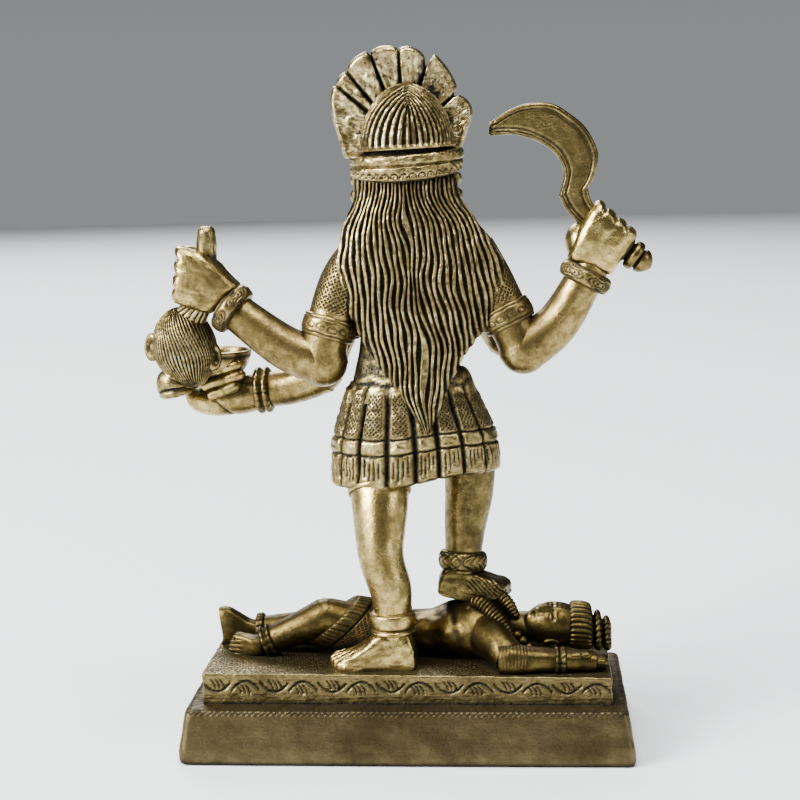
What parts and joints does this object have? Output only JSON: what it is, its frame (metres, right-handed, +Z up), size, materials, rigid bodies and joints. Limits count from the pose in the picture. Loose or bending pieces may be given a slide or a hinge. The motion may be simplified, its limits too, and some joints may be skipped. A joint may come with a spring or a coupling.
{
  "type": "brass kali figure",
  "caption": "Cast brass statuette of four-armed Kali with sickle, severed head and bowl, standing on the reclining Shiva on a stepped oblong plinth.",
  "frame": {"origin": "middle of the plinth's underside", "axes": "+Z up from the plinth to the crown; the goddess faces -Y and her left hand is on +X"},
  "size_m": [0.1466, 0.0626, 0.1994],
  "materials": {
    "brass_figure": "antique satin brass, filed and brushed, black patina in the grooves",
    "brass_plinth": "antique satin brass, browner, punched dark ground on the top"
  },
  "bodies": {
    "root": {"kali_figure": "brass_figure", "shiva_plinth": "brass_plinth"}
  },
  "joints": []
}
